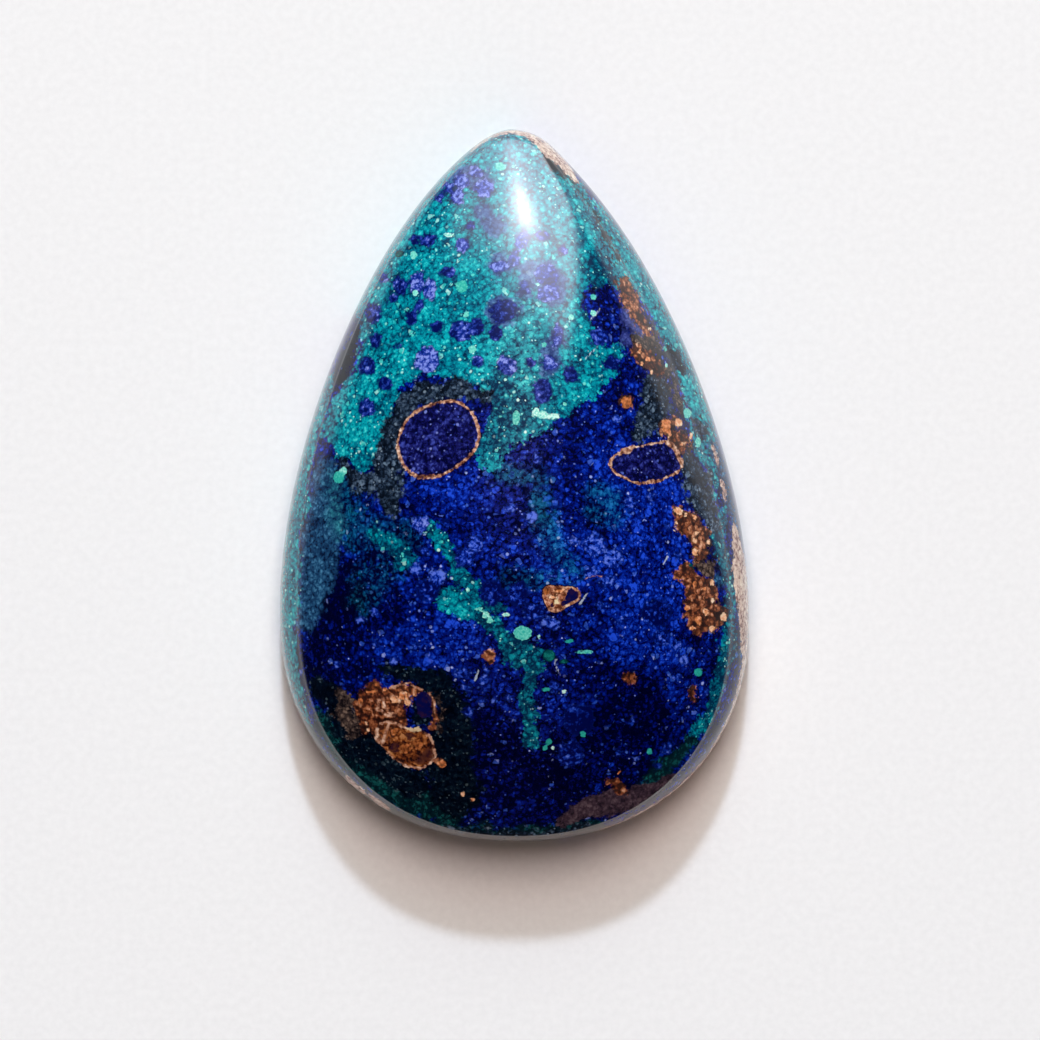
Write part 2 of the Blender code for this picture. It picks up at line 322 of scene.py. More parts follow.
# Orange to cream chips, mostly in the rust.
EMBERS = [
    (55, 41, 3, 3, 0.45), (75, 29, 2.5, 4, 0.6), (81, 31, 2, 2, 0.85), (81, -13, 2, 2, 0.9),
    (85, -14.5, 1, 1.5, 0.95), (89, -16, 1.5, 1.5, 0.8), (90, -24, 1, 1.5, 0.9), (89.5, -28, 1, 1, 0.8),
    (89.5, -33, 1.5, 1.5, 0.8), (96, -28.5, 1, 1.5, 0.9), (80, -18.5, 1, 1, 1),
    (81, -22.5, 1.5, 0.5, 1), (89.5, -49, 1.5, 1.5, 0.5), (94, -51.5, 1, 1, 0.55),
    (93.5, -56, 1, 1, 0.6), (85.5, -61, 1.5, 1.5, 0.6), (98, -48, 1, 1.5, 0.8), (104, -65.5, 2, 2, 0.9),
    (97.5, -71, 1.5, 1.5, 0.85), (91, -67, 2, 2, 0.6), (95, -63, 1, 2, 0.8), (98, -57, 1, 1, 1),
    (88, -71, 1.5, 1, 0.7), (-71, -102, 2, 1, 0.5), (-69, -99, 1, 1, 0.5), (-55, -104, 2.5, 2, 0.7),
    (-59, -106, 2, 2, 0.8), (-53, -107, 1.5, 1.5, 0.75), (-64, -101, 1, 1, 0.7),
    (-76, -107, 1, 1.5, 0.5), (-73.5, -118, 1, 1, 0.95), (-72, -121, 1, 1, 0.9),
    (-59, -121.5, 2, 2, 0.4), (-54, -130, 3, 2.5, 0.35), (-48, -128, 2.5, 2.5, 0.4),
    (-36, -138, 2, 2, 0.5), (-25.5, -153, 1, 1, 0.8), (-21, -156, 1, 1, 0.7), (16, -52, 1.5, 2, 0.4),
    (22, -52, 3, 1, 0.7), (19, -55, 1.5, 1, 0.8), (66, 62, 1.5, 1.5, 0.6), (63, 60, 1, 1, 0.75),
    (68, 56, 1, 1, 0.9), (62, 66, 1, 1, 0.7), (87.5, 24, 1, 1.5, 0.9), (83, 20, 1, 1, 0.75),
    (77, 25, 1, 1.5, 0.75), (67, 77, 1, 1, 0.9), (52, -142, 1, 1, 0.6),
]
# Flecks inside the nodules, from navy through brown to cream as the last value rises.
FLECKS = [
    (28, -55, 3, 4, 0), (25, -58, 2, 1.5, 0), (31, -53.5, 1, 1.5, 0.1), (20.5, -57.5, 1, 1.5, 1),
    (19, -59, 1.5, 1, 0.05), (-59, -130, 3, 2.5, 0.2), (-51.5, -124, 2, 2, 0.25),
    (-42.5, -133.5, 3, 3, 0.25), (-46, -136, 2.5, 2, 0.25), (-62, -126, 1, 1.5, 0.3),
    (-49, -121, 3, 1.5, 0.9), (-45, -107.5, 4, 5, 0), (-44, -112, 4, 3, 0.02),
]
# Fine brush strokes: pale curls of the nodules, and white threads.
CURLS = [
    [(-68.5, -106.5, 0.5), (-64.5, -105.5, 0.6), (-64.5, -109, 0.6), (-62, -112, 0.7), (-59, -113, 0.7),
     (-59.5, -114, 0.6), (-63, -114, 0.6), (-65.5, -112, 0.7), (-68, -111, 0.7), (-67, -108.5, 0.5),
     (-68.5, -106.5, 0.5)],
    [(-60, -100, 0.7), (-56.5, -98.5, 0.5), (-51.5, -98, 0.5), (-49, -100, 0.5), (-45.5, -101.5, 0.5)],
    [(-62, -117.5, 0.6), (-64, -123, 0.7), (-65, -127.5, 0.8), (-67, -127, 1), (-68.5, -125, 0.7)],
    [(-63, -105, 0.4), (-59, -104, 0.4), (-57, -107, 0.4), (-58, -110, 0.4)],
    [(-55, -102, 0.4), (-54, -106, 0.4), (-51, -107, 0.4)],
    [(-43, -102, 0.3), (-40, -106, 0.4), (-39, -113, 0.4)],
    [(-57, 18, 0.6), (-56.5, 12, 0.8), (-51, 6, 1.1), (-47, 4, 1.3), (-41, 4, 1.1), (-36, 5, 0.6)],
    [(-50, 35, 0.5), (-46, 37.5, 1), (-41, 39.5, 0.5)],
    [(53, 17, 1.2), (56, 17, 1.5), (59, 19, 0.7)],
    [(75, 21, 0.8), (77, 20, 1), (80, 17, 0.8), (82, 12, 0.8), (83, 9, 0.5)],
    [(17, -61, 0.8), (19.5, -62, 0.8), (23.5, -61, 0.6), (28, -58, 0.6), (32, -56, 0.6),
     (32.5, -53, 0.5), (31, -51, 0.5)],
    [(35, -46.5, 0.2), (36, -46, 0.2), (40, -44.5, 0.2), (44, -45, 0.2)],
]
THREADS = [
    [(36, -53, 0.4), (32, -59, 0.6)],
    [(20.5, -85.5, 0.5), (20, -88, 0.4), (21.5, -91.5, 0.5), (22.5, -93.5, 0.4)],
    [(-17.5, -90.5, 0.4), (-18.5, -93, 0.4), (-19.5, -96.5, 0.5)],
    [(41, 69, 0.4), (35, 62, 0.4)],
    [(38, 82, 0.4), (42, 87, 0.4)],
    [(73, -39, 0.4), (76, -35, 0.4)],
]


def pear_half_width(rise):
    """Half the girdle's width as a share of its widest, at rise from -1 (foot) to 1 (tip)."""
    foot = (1 - np.abs(rise) ** FOOT_POWER) ** (1 / FOOT_POWER)
    tip = (1 - rise**2) ** (TIP_POWER / 2) * (1 - FLANK_HOLLOW * rise**2 * (1 - rise))
    return np.where(rise < 0, foot, tip)


def tip_fullness(rise):
    """What the blunt tip adds to half the girdle's width, as a share of its widest."""
    fall = 1 - rise**2
    return TIP_FULLNESS * np.sqrt(fall) * np.exp(-fall / TIP_FULLNESS_REACH)


def level_line(angle, inset, share):
    """Plan position on a level line: the outline moved in by inset, then shrunk towards the apex."""
    rise = np.clip(np.sin(angle), -1, 1)
    across = np.cos(angle)
    upper = rise > 0
    inset = inset * (1 + np.where(upper, WALL_SKEW * rise * across / WALL_INSET, 0))
    tip_reach = TIP_LENGTH - TIP_INSET_SHARE * inset
    reach = np.where(upper, tip_reach, FOOT_LENGTH - FOOT_INSET_SHARE * inset)
    pear = np.copysign(pear_half_width(rise), across)
    pear = pear + np.where(upper, (np.copysign(1, across) + TIP_FULLNESS_SKEW) * tip_fullness(rise), 0)
    roundness = 1 - share**ROUNDING
    y = WIDEST_Y + reach * rise
    x = (WIDTH / 2 - inset) * (pear + (across - pear) * roundness)
    x = x - LEAN * (y - WIDEST_Y) / LENGTH
    drift = RIDGE_DRIFT * (1 - share**2) * np.where(upper, rise, 0) ** 2
    return share * (x + drift), APEX_Y + share * (y - APEX_Y)


def meridian(level):
    """Inset, share and height at level: 0 apex, 1 shoulder, 2 foot of the wall, 3 middle of the back."""
    share = np.sin(np.clip(level, 0, 1) * pi / 2)
    shoulder = SHOULDER_RISE * np.sqrt(1 - share**SHOULDER_POWER)
    inset = np.full_like(level, WALL_INSET)
    height = WALL_HEIGHT + shoulder + DOME_RISE * (1 - share**2) ** DOME_POWER

    wall = level > 1
    up = np.clip(WALL_END - level, 0, 1)
    inset = np.where(wall, WALL_INSET * up**WALL_BARREL, inset)
    height = np.where(wall, BACK_BEVEL + (WALL_HEIGHT - BACK_BEVEL) * up, height)

    bevel = level > WALL_END
    turn = np.clip((level - WALL_END) / (BEVEL_END - WALL_END), 0, 1) * pi / 2
    inset = np.where(bevel, BACK_BEVEL * (1 - np.cos(turn)), inset)
    height = np.where(bevel, BACK_BEVEL * (1 - np.sin(turn)), height)

    back = level > BEVEL_END
    share = np.where(back, (BACK_END - level) / (BACK_END - BEVEL_END), share)
    height = np.where(back, 0, height)
    return inset, share, height


def stone_sheet():
    """A disk of small squares, its rim drawn down as a tube and closed to a point.

    The disk is the dome. The tube is the wall, the bevel and the back, its depth the level past 1.
    """
    bm = bmesh.new()
    bmesh.ops.create_grid(bm, x_segments=CORE_CELLS, y_segments=CORE_CELLS, size=1.0)
    for vert in bm.verts:
        x, y = vert.co.x, vert.co.y
        vert.co = Vector((x * sqrt(1 - y * y / 2), y * sqrt(1 - x * x / 2), 0)) * CORE_LEVEL
    inner = list(bm.verts)
    rim = [edge for edge in bm.edges if edge.is_boundary]

    def draw_out(edges, place):
        """Pulls a new ring out of the rim and puts its corners in place."""
        made = bmesh.ops.extrude_edge_only(bm, edges=edges)["geom"]
        fresh = [part for part in made if isinstance(part, bmesh.types.BMVert)]
        for vert in fresh:
            vert.co = place(vert.co)
        edges = [part for part in made if isinstance(part, bmesh.types.BMEdge) and part.is_boundary]
        return edges, fresh

    for ring in range(1, DOME_RINGS + 1):
        radius = CORE_LEVEL + (1 - CORE_LEVEL) * ring / DOME_RINGS
        rim, fresh = draw_out(rim, lambda co: co.normalized() * radius)
        if ring < DOME_RINGS // 4:
            inner += fresh
    for _ in range(EASE_ROUNDS):
        bmesh.ops.smooth_vert(bm, verts=inner, factor=0.5, use_axis_x=True, use_axis_y=True)
    wall = (1.0, WALL_END, WALL_RINGS)
    bevel = (WALL_END, BEVEL_END, BEVEL_RINGS)
    back = (BEVEL_END, BACK_END, BACK_RINGS)
    for start, end, count in (wall, bevel, back):
        for ring in range(1, count + 1):
            depth = start + (end - start) * ring / count - 1
            rim, fresh = draw_out(rim, lambda co: Vector((co.x, co.y, -depth)))
    bmesh.ops.pointmerge(bm, verts=fresh, merge_co=(0, 0, 1 - BACK_END))
    return bm


def places_of(mesh, kind):
    """Every vertex's co or normal, one to a row."""
    flat = np.zeros(len(mesh.vertices) * 3)
    mesh.vertices.foreach_get(kind, flat)
    return flat.reshape(-1, 3)


def wander(plan, spots, waves):
    """The plan pushed about by smooth noise, each wave (size, amount, seed) in millimetres."""
    for size, amount, seed in waves:
        shift = Vector((seed, -seed, 2 * seed))
        found = [noise.noise_vector(Vector(spot) / size + shift) for spot in spots]
        plan = plan + np.array(found)[:, :2] * amount
    return plan


def stroke_depth(plan, stroke):
    """How far each point lies inside a brush stroke of round dabs, in millimetres."""
    dabs = np.array(stroke, float) * TENTH
    best = np.full(len(plan), -np.inf)
    for a, b in zip(dabs, dabs[1:] if len(dabs) > 1 else dabs):
        run = b[:2] - a[:2]
        along = np.clip((plan - a[:2]) @ run / max(run @ run, 1e-9), 0, 1)
        away = np.hypot(*(plan - a[:2] - along[:, None] * run).T)
        best = np.maximum(best, a[2] + along * (b[2] - a[2]) - away)
    return best


def strokes_depth(plan, strokes):
    return np.max([stroke_depth(plan, stroke) for stroke in strokes], axis=0)


def outline_depth(plan, outline):
    """How far each point lies inside a closed outline, in millimetres; negative outside."""
    corners = np.array(outline, float) * TENTH
    nearest = np.full(len(plan), np.inf)
    inside = np.zeros(len(plan), bool)
    for a, b in zip(corners, np.roll(corners, -1, axis=0)):
        run = b - a
        along = np.clip((plan - a) @ run / (run @ run), 0, 1)
        nearest = np.minimum(nearest, np.hypot(*(plan - a - along[:, None] * run).T))
        spans = (a[1] > plan[:, 1]) != (b[1] > plan[:, 1])
        if b[1] != a[1]:
            crossing = a[0] + (plan[:, 1] - a[1]) * run[0] / run[1]
            inside ^= spans & (plan[:, 0] < crossing)
    return np.where(inside, nearest, -nearest)


def dabs_depth(plan, dabs):
    """Depth inside the nearest of many oval dabs, and that dab's last value."""
    best = np.full(len(plan), -1.0)
    value = np.zeros(len(plan))
    for x, y, half_width, half_height, tone in dabs:
        reach = np.hypot((plan[:, 0] / TENTH - x) / half_width, (plan[:, 1] / TENTH - y) / half_height)
        depth = (1 - reach) * min(half_width, half_height) * TENTH
        value = np.where(depth > best, tone, value)
        best = np.maximum(best, depth)
    return best, value


def keep(mesh, name, values):
    """Stores one number for each vertex, for the material to read."""
    attribute = mesh.attributes.new(name, "FLOAT", "POINT")
    attribute.data.foreach_set("value", np.clip(values, -1, 1).astype(np.float32))


def smooth_closed(outline, times=2):
    """A closed outline with its corners cut."""
    points = np.array(outline, float)
    for _ in range(times):
        after = np.roll(points, -1, axis=0)
        points = np.stack([0.75 * points + 0.25 * after, 0.25 * points + 0.75 * after], 1).reshape(-1, 2)
    return points


def lay_marks(mesh, spots, plan):
    """Stores how deep each vertex lies in each mineral, in millimetres."""
    noise.seed_set(NOISE_SEED)
    broad = wander(plan, spots, BROAD_WANDER)
    close = wander(plan, spots, CLOSE_WANDER)
    near = wander(plan, spots, NEAR_WANDER)
    stroked = {
        "teal_haze": TEAL_HAZES, "deep_green": DEEP_GREENS, "royal": ROYALS, "deep": DEEPS,
        "dark_teal": DARK_TEALS, "smoke": SMOKES, "charcoal": CHARCOALS, "night_and_shoulder_shade": NIGHTS_AND_SHOULDER_SHADE,
        "slate_and_flank_sheen": SLATES_AND_FLANK_SHEEN, "tan": TANS,
    }
    for name, strokes in stroked.items():
        keep(mesh, name, strokes_depth(broad, strokes))
    keep(mesh, "teal", np.maximum(outline_depth(broad, TEAL_FIELD), strokes_depth(broad, TEAL_VEINS)))
    beds = [outline_depth(close, outline) for outline in RUST_BEDS]
    keep(mesh, "rust", np.max([strokes_depth(close, RUSTS), *beds], axis=0))
    keep(mesh, "host", strokes_depth(close, HOST_ROCKS))
    keep(mesh, "mauve", strokes_depth(close, MAUVES))
    dabbed = {"ball": BALLS, "crystal": CRYSTALS, "jade": JADES, "ember": EMBERS, "fleck": FLECKS}
    for name, dabs in dabbed.items():
        depth, tone = dabs_depth(near, dabs)
        keep(mesh, name, depth)
        keep(mesh, name + "_tone", tone)
    rings = [outline_depth(near, smooth_closed(outline)) for outline in (LEFT_RING, RIGHT_RING)]
    keep(mesh, "ring", np.max(rings, axis=0))
    keep(mesh, "shell", outline_depth(near, smooth_closed(SHELL)))
    keep(mesh, "nodule", outline_depth(near, smooth_closed(NODULE)))
    keep(mesh, "curl", strokes_depth(near, CURLS))
    keep(mesh, "thread", strokes_depth(near, THREADS))


def make_stone():
    bm = stone_sheet()
    mesh = bpy.data.meshes.new("polished_azurite_stone")
    bm.to_mesh(mesh)
    bm.free()
    sheet = places_of(mesh, "co")
    angle = np.arctan2(sheet[:, 1], sheet[:, 0])
    level = np.where(sheet[:, 2] < 0, 1 - sheet[:, 2], np.hypot(sheet[:, 0], sheet[:, 1]))
    inset, share, height = meridian(level)
    x, y = level_line(angle, inset, share)
    spots = np.stack([x, y, height], 1)
    mesh.vertices.foreach_set("co", (spots * MM).ravel())
    mesh.update()
    mesh.shade_smooth()

    outward = places_of(mesh, "normal")
    plan = spots[:, :2].copy()
    drop = np.clip(WALL_HEIGHT - height, 0, None)
    plan += WALL_UNROLL * drop[:, None] * outward[:, :2]
    lay_marks(mesh, spots, plan)

    stone = bpy.data.objects.new("polished_azurite_stone", mesh)
    bpy.context.scene.collection.objects.link(stone)
    stone.data.materials.append(azurite_rock())
    return stone


# Sizes of the grains and of the noise in them, in millimetres.
FINE_GRAIN, SMALL_GRAIN, MIDDLING_GRAIN, COARSE_GRAIN = 0.13, 0.2, 0.29, 0.62
DUST, MOTTLE, PATCH, CLOUD, BRUSHING = 0.1, 0.22, 0.55, 1.7, 0.06
BEND, BEND_AMOUNT = 0.3, 0.055

# Colours of the minerals from their dark grains to their pale ones, each (grain tone, colour).
BLUE_TONES = [
    (0.15, (0.0, 0.0003, 0.015)), (0.35, (0.0, 0.0013, 0.055)), (0.52, (0.0, 0.0045, 0.13)),
    (0.7, (0.001, 0.018, 0.3)), (0.9, (0.012, 0.065, 0.66)),
]
BLUE_CHIP_TONES = [(0.0, (0.01, 0.06, 0.45)), (0.7, (0.07, 0.16, 0.7)), (1.0, (0.4, 0.48, 0.88))]
TEAL_TONES = [
    (0.1, (0.0, 0.02, 0.062)), (0.3, (0.0, 0.095, 0.17)), (0.48, (0.0, 0.222, 0.295)),
    (0.68, (0.002, 0.4, 0.455)), (0.88, (0.05, 0.64, 0.64)),
]
TEAL_CHIP_TONES = [(0.0, (0.02, 0.48, 0.44)), (0.5, (0.1, 0.68, 0.6)), (1.0, (0.6, 0.93, 0.84))]
GREEN_TONES = [(0.1, (0.0, 0.004, 0.012)), (0.5, (0.002, 0.026, 0.034)), (0.9, (0.01, 0.13, 0.125))]
CHARCOAL_TONES = [
    (0.15, (0.001, 0.0025, 0.007)), (0.4, (0.007, 0.015, 0.032)), (0.6, (0.026, 0.045, 0.082)),
    (0.85, (0.13, 0.19, 0.27)),
]
CHARCOAL_SPECK = (0.26, 0.34, 0.44)
# These tones also colour the painted shade line along the shoulder near the tip.
NIGHT_TONES = [
    (0.2, (0.0, 0.0008, 0.004)), (0.5, (0.0008, 0.004, 0.013)), (0.75, (0.005, 0.015, 0.027)),
    (0.95, (0.06, 0.09, 0.11)),
]
NIGHT_SPECK = (0.13, 0.19, 0.22)
# The pale end of the slate is partly a painted reflection on the flanks.
SLATE_AND_SHEEN_TONES = [(0.15, (0.001, 0.01, 0.045)), (0.5, (0.013, 0.066, 0.165)), (0.85, (0.07, 0.25, 0.43))]
SMOKE_TONES = [(0.2, (0.015, 0.025, 0.13)), (0.5, (0.045, 0.06, 0.27)), (0.85, (0.12, 0.16, 0.4))]
RUST_TONES = [
    (0.15, (0.01, 0.002, 0.002)), (0.38, (0.066, 0.014, 0.007)), (0.58, (0.26, 0.068, 0.022)),
    (0.78, (0.48, 0.19, 0.09)), (0.97, (0.72, 0.42, 0.28)),
]
TAN_TONES = [(0.15, (0.006, 0.004, 0.006)), (0.5, (0.05, 0.033, 0.03)), (0.9, (0.3, 0.2, 0.15))]
HOST_TONES = [
    (0.1, (0.22, 0.1, 0.09)), (0.35, (0.56, 0.37, 0.31)), (0.65, (0.76, 0.58, 0.47)),
    (0.95, (0.9, 0.8, 0.66)),
]
MAUVE_TONES = [(0.2, (0.02, 0.011, 0.021)), (0.5, (0.05, 0.029, 0.044)), (0.85, (0.13, 0.085, 0.105))]

# Balls in the teal, and balls in the blue, from dull to pale.
BALL_TONES = [
    (0.0, (0.0004, 0.004, 0.075)), (0.35, (0.004, 0.02, 0.21)), (0.7, (0.028, 0.06, 0.42)),
    (1.0, (0.22, 0.28, 0.72)),
]
ROYAL_BALL_TONES = [
    (0.0, (0.0, 0.002, 0.06)), (0.3, (0.002, 0.015, 0.24)), (0.55, (0.012, 0.055, 0.48)),
    (0.9, (0.1, 0.17, 0.7)),
]
BALL_EDGE = (0.0005, 0.006, 0.085)
JADE_DEEP, JADE_PALE = (0.0, 0.1, 0.09), (0.01, 0.3, 0.26)
JADE_SHADE, JADE_EDGE = (0.0, 0.06, 0.075), (0.0, 0.03, 0.04)

# Nodules: hearts, dark edges and the pale rim.
RING_TONES = [(0.2, (0.0006, 0.001, 0.025)), (0.5, (0.005, 0.006, 0.09)), (0.85, (0.05, 0.07, 0.4))]
RING_SPECK_TONES = [(0.0, (0.03, 0.08, 0.5)), (1.0, (0.3, 0.34, 0.75))]
RING_EDGE = (0.004, 0.003, 0.012)
RIM_TONES = [
    (0.2, (0.07, 0.02, 0.015)), (0.42, (0.33, 0.13, 0.07)), (0.62, (0.62, 0.36, 0.25)),
    (0.85, (0.85, 0.66, 0.54)),
]
NODULE_TONES = [
    (0.15, (0.02, 0.005, 0.005)), (0.4, (0.12, 0.028, 0.009)), (0.62, (0.33, 0.095, 0.025)),
    (0.85, (0.52, 0.22, 0.08)),
]
NODULE_EDGE = (0.006, 0.003, 0.004)
SHELL_TONES = [(0.2, (0.1, 0.025, 0.012)), (0.5, (0.42, 0.14, 0.07)), (0.85, (0.72, 0.45, 0.32))]
SHELL_EDGE = (0.002, 0.001, 0.01)

# Chips, by the last value of their dabs.
FLECK_TONES = [
    (0.0, (0.0015, 0.003, 0.06)), (0.2, (0.04, 0.01, 0.012)), (0.5, (0.26, 0.08, 0.03)),
    (0.75, (0.55, 0.33, 0.18)), (1.0, (0.78, 0.66, 0.42)),
]
EMBER_TONES = [
    (0.0, (0.1, 0.025, 0.01)), (0.22, (0.38, 0.11, 0.03)), (0.45, (0.68, 0.22, 0.075)),
    (0.7, (0.85, 0.45, 0.25)), (1.0, (0.88, 0.72, 0.55)),
]
EMBER_EDGE = (0.02, 0.006, 0.004)
CRYSTAL_TONES = [
    (0.0, (0.0, 0.2, 0.18)), (0.5, (0.03, 0.45, 0.38)), (0.8, (0.2, 0.7, 0.6)), (1.0, (0.6, 0.88, 0.8)),
]
THREAD_COLOUR = (0.55, 0.62, 0.72)


class Mixer:
    """Short names for the nodes of one material."""

    def __init__(self, material):
        self.tree = material.node_tree
        self.object_place = self.tree.nodes.new("ShaderNodeTexCoord").outputs["Object"]

    def node(self, kind, inputs=None, **settings):
        made = self.tree.nodes.new("ShaderNode" + kind)
        for name, value in settings.items():
            setattr(made, name, value)
        for name, value in (inputs or {}).items():
            if isinstance(value, bpy.types.NodeSocket):
                self.tree.links.new(value, made.inputs[name])
            else:
                made.inputs[name].default_value = value
        return made

    def math(self, operation, a, b=0.0, c=0.0):
        return self.node("Math", {0: a, 1: b, 2: c}, operation=operation).outputs[0]

    def times(self, a, b):
        return self.math("MULTIPLY", a, b)

    def add_share(self, base, value, share):
        """base plus that share of value."""
        return self.math("MULTIPLY_ADD", value, share, base)

    def vary(self, base, chance, spread):
        """base moved by as much as half the spread either way, as chance runs from 0 to 1."""
        return self.add_share(base, self.math("SUBTRACT", chance, 0.5), spread)

    def step(self, value, low, high):
        """0 below low, 1 above high, smooth between; the other way round if low is above high."""
        inputs = {"Value": value, "From Min": low, "From Max": high}
        made = self.node("MapRange", inputs, interpolation_type="SMOOTHSTEP", clamp=True)
        return made.outputs["Result"]

    def mix(self, factor, a, b):
        made = self.node("Mix", data_type="RGBA", clamp_factor=True)
        for socket, value in ((0, factor), (6, a), (7, b)):
            if isinstance(value, bpy.types.NodeSocket):
                self.tree.links.new(value, made.inputs[socket])
            else:
                made.inputs[socket].default_value = (*value, 1.0) if isinstance(value, tuple) else value
        return made.outputs[2]

    def cover(self, colour, depth, low, high, over):
        """colour, covered by over as depth rises from low to high."""
        return self.mix(self.step(depth, low, high), colour, over)

    def ramp(self, value, stops):
        made = self.node("ValToRGB", {"Fac": value})
        ends = made.color_ramp.elements
        while len(ends) < len(stops):
            ends.new(0.5)
        for end, (position, colour) in zip(ends, stops):
            end.position = position
            end.color = (*colour, 1.0)
        return made.outputs["Color"]

    def read(self, name):
        return self.node("Attribute", attribute_name=name).outputs["Fac"]

    def cloud(self, size, detail=2.0, place=None):
        """Noise from 0 to 1, of that size in millimetres."""
        inputs = {"Vector": place or self.object_place, "Scale": 1 / (size * MM), "Detail": detail}
        return self.node("TexNoise", inputs).outputs["Fac"]

    def cells(self, size, place, **settings):
        """Grains of that size in millimetres."""
        return self.node("TexVoronoi", {"Vector": place, "Scale": 1 / (size * MM)}, **settings)

    def lucks(self, cells):
        """Three chance numbers for each grain."""
        return self.node("SeparateColor", {"Color": cells.outputs["Color"]}).outputs[:3]

    def vector(self, operation, a, b):
        return self.node("VectorMath", {0: a, 1: b}, operation=operation).outputs[0]

    def bent_place(self, size, amount):
        """The place on the object, bent by noise of that size by that many millimetres."""
        inputs = {"Vector": self.object_place, "Scale": 1 / (size * MM), "Detail": 2.0}
        bend = self.node("TexNoise", inputs).outputs["Color"]
        shift = self.vector("SUBTRACT", bend, (0.5, 0.5, 0.5))
        shift = self.vector("MULTIPLY", shift, (2 * amount * MM,) * 3)
        return self.vector("ADD", self.object_place, shift)


class Rock(Mixer):
    """The grain that all the minerals share, and the marks read with a grainy edge."""

    def __init__(self, material):
        super().__init__(material)
        place = self.bent_place(BEND, BEND_AMOUNT)
        self.dust = self.cloud(DUST, 3.0, place)
        self.mottle = self.cloud(MOTTLE, 2.0, place)
        self.patch = self.cloud(PATCH, 2.0)
        fine = self.cells(FINE_GRAIN, place)
        small = self.cells(SMALL_GRAIN, place)
        middling = self.cells(MIDDLING_GRAIN, place)
        coarse = self.cells(COARSE_GRAIN, place)
        seams = self.cells(MIDDLING_GRAIN, place, feature="DISTANCE_TO_EDGE").outputs["Distance"]
        fine_luck, fine_chance, fine_shade = self.lucks(fine)
        small_luck, small_chance, self.chip_shade = self.lucks(small)
        middling_luck, middling_chance, middling_shade = self.lucks(middling)
        coarse_luck, coarse_chance, coarse_shade = self.lucks(coarse)

        # The grain's tone, about 0 for dark grains and 1 for pale ones.
        tone = self.add_share(self.times(small_luck, 0.22), fine_luck, 0.3)
        tone = self.add_share(tone, middling_luck, 0.14)
        tone = self.add_share(tone, middling.outputs["Distance"], -0.3)
        tone = self.add_share(tone, coarse_luck, 0.16)
        tone = self.add_share(tone, self.dust, 0.5)
        tone = self.add_share(tone, self.cloud(CLOUD, 3.0), 0.5)
        tone = self.add_share(tone, self.step(seams, 0.2, 0.0), -0.1)
        self.tone = self.math("SUBTRACT", tone, 0.28)

        # Rust, nodules and host rock are coarser: their middling grains differ more.
        self.rust_tone = self.vary(self.vary(self.tone, middling_luck, 0.3), self.mottle, 0.9)

        # Pebbles: rounder, paler grains in a dark seam.
        lumpy = self.vary(coarse.outputs["Distance"], self.mottle, 0.5)
        lumpy = self.add_share(lumpy, coarse_shade, 0.16)
        common = self.step(coarse_chance, 0.6, 0.62)
        pebble = self.times(self.step(lumpy, 0.42, 0.34), common)
        hem = self.math("SUBTRACT", self.step(lumpy, 0.54, 0.44), self.step(lumpy, 0.44, 0.34))
        hemmed = self.add_share(self.tone, self.times(hem, common), -0.16)
        self.pebbled = self.add_share(hemmed, pebble, 0.2)

        # Chips: a few grains are far paler than their neighbours.
        fine_heart = self.step(fine.outputs["Distance"], 0.45, 0.2)
        small_heart = self.step(small.outputs["Distance"], 0.5, 0.25)
        middling_heart = self.step(seams, 0.06, 0.16)
        fine_chip = self.times(self.step(fine_chance, 0.9, 0.96), fine_heart)
        small_chip = self.times(self.step(small_chance, 0.92, 0.96), small_heart)
        middling_chip = self.times(self.step(middling_chance, 0.965, 0.98), middling_heart)
        self.specks = self.math("MAXIMUM", fine_chip, self.times(small_chip, 0.85))
        self.chips = self.math("MAXIMUM", self.specks, self.times(middling_chip, 0.6))

        # How the grains of two minerals mingle at their border.
        mingle = self.add_share(-0.1, fine_shade, 0.2)
        mingle = self.math("ADD", mingle, self.add_share(-0.12, middling_shade, 0.24))
        self.mingle = self.math("ADD", mingle, self.add_share(-0.3, self.patch, 0.6))

    def inside(self, name, width=0.05, mingling=1.0):
        """1 inside a mark, 0 outside, its grains mingled with the neighbours' at the border."""
        return self.step(self.add_share(self.read(name), self.mingle, mingling), -width, width)

    def ragged(self, name, dust_spread=0.12, mottle_spread=0.0):
        """A mark's depth with a rough edge."""
        return self.vary(self.vary(self.read(name), self.dust, dust_spread), self.mottle, mottle_spread)


def blue_rock(rock):
    tone = rock.add_share(rock.pebbled, rock.inside("royal", 0.5), 0.17)
    tone = rock.add_share(tone, rock.inside("deep", 0.5), -0.2)
    chips = rock.times(rock.chips, rock.step(tone, 0.12, 0.5))
    chip_colour = rock.ramp(rock.chip_shade, BLUE_CHIP_TONES)
    return rock.mix(chips, rock.ramp(tone, BLUE_TONES), chip_colour)


def teal_rock(rock):
    tone = rock.add_share(rock.tone, rock.inside("dark_teal", 0.3), -0.2)
    chip_colour = rock.ramp(rock.chip_shade, TEAL_CHIP_TONES)
    return rock.mix(rock.chips, rock.ramp(tone, TEAL_TONES), chip_colour)


